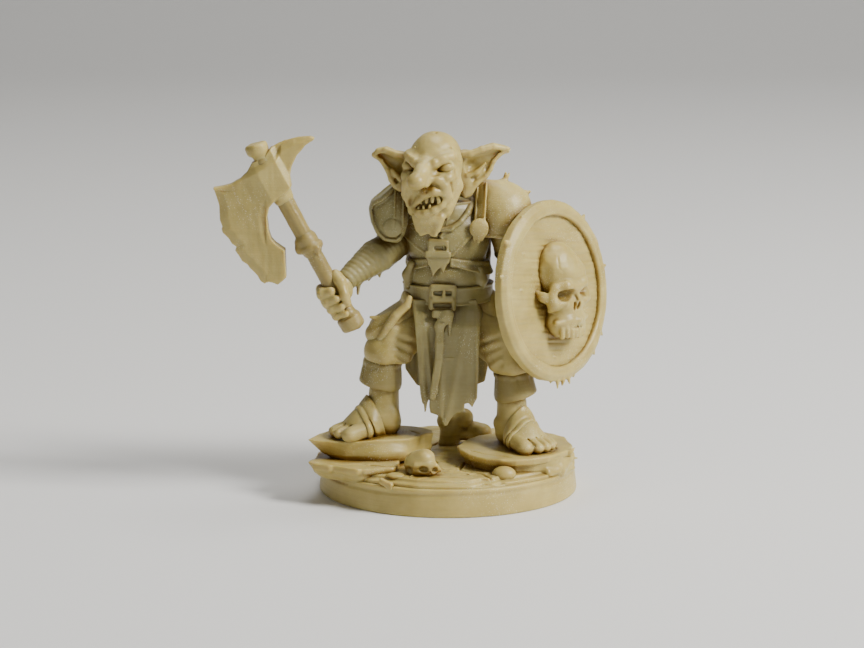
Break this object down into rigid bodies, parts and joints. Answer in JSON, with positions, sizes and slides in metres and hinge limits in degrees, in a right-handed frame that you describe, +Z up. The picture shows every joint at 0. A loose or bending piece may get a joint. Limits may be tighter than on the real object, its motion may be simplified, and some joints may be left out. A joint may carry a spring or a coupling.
{
  "type": "goblin warrior miniature",
  "caption": "Cast-resin tabletop figure of a goblin warrior holding a bearded axe and a round skull-faced shield, standing on a rocky round base.",
  "frame": {"origin": "centre of the round base's underside", "axes": "+Z up, the figure looks along -Y, its shield arm is on +X and its axe arm on -X"},
  "size_m": [0.0482, 0.032, 0.045],
  "materials": {
    "resin_base": "cured cream resin, slightly translucent, with fine print layers",
    "resin_rock": "cured cream resin, slightly translucent, with fine print layers",
    "resin_bone": "cured cream resin, slightly translucent, with fine print layers",
    "resin_skin": "cured cream resin, slightly translucent, with fine print layers",
    "resin_weapon": "cured cream resin, slightly translucent, with fine print layers",
    "resin_armour": "cured cream resin, slightly translucent, with fine print layers",
    "resin_cloth": "cured cream resin, slightly translucent, with fine print layers"
  },
  "bodies": {
    "root": {"axe_collar": "resin_weapon", "axe_haft": "resin_weapon", "axe_head": "resin_weapon", "axe_pommel": "resin_weapon", "axe_top_knob": "resin_weapon", "back_cloth": "resin_cloth", "base_disc": "resin_base", "belt_buckle": "resin_armour", "belt_tail": "resin_cloth", "bones": "resin_bone", "chest_buckle": "resin_armour", "chest_harness": "resin_cloth", "chin_beard": "resin_skin", "eyes": "resin_skin", "flagstone_floor": "resin_rock", "front_cloth_left": "resin_cloth", "front_cloth_right": "resin_cloth", "ground_skull": "resin_bone", "head": "resin_skin", "hips": "resin_cloth", "left_ear": "resin_skin", "left_foot": "resin_skin", "left_foot_rock": "resin_rock", "left_forearm": "resin_skin", "left_hand": "resin_skin", "left_hip_skirt": "resin_cloth", "left_instep_band": "resin_cloth", "left_ledge": "resin_rock", "left_plate_lappet": "resin_armour", "left_rock_step": "resin_rock", "left_shin": "resin_skin", "left_shoulder_plate": "resin_armour", "left_trouser_cuff": "resin_cloth", "left_trouser_leg": "resin_cloth", "left_upper_arm": "resin_skin", "lower_jaw": "resin_skin", "lower_teeth": "resin_bone", "neck": "resin_skin", "neck_collar": "resin_cloth", "nose": "resin_skin", "right_ear": "resin_skin", "right_foot": "resin_skin", "right_foot_rock": "resin_rock", "right_forearm_wrap": "resin_cloth", "right_hand": "resin_skin", "right_hip_skirt": "resin_cloth", "right_instep_band": "resin_cloth", "right_plate_lappet": "resin_armour", "right_shin": "resin_skin", "right_shoulder_plate": "resin_armour", "right_trouser_cuff": "resin_cloth", "right_trouser_leg": "resin_cloth", "right_upper_arm": "resin_skin", "rubble_stones": "resin_rock", "shield_board": "resin_weapon", "shield_grip": "resin_weapon", "shield_rim": "resin_weapon", "shield_skull_emblem": "resin_weapon", "torso": "resin_cloth", "waist_belt": "resin_cloth"}
  },
  "joints": []
}
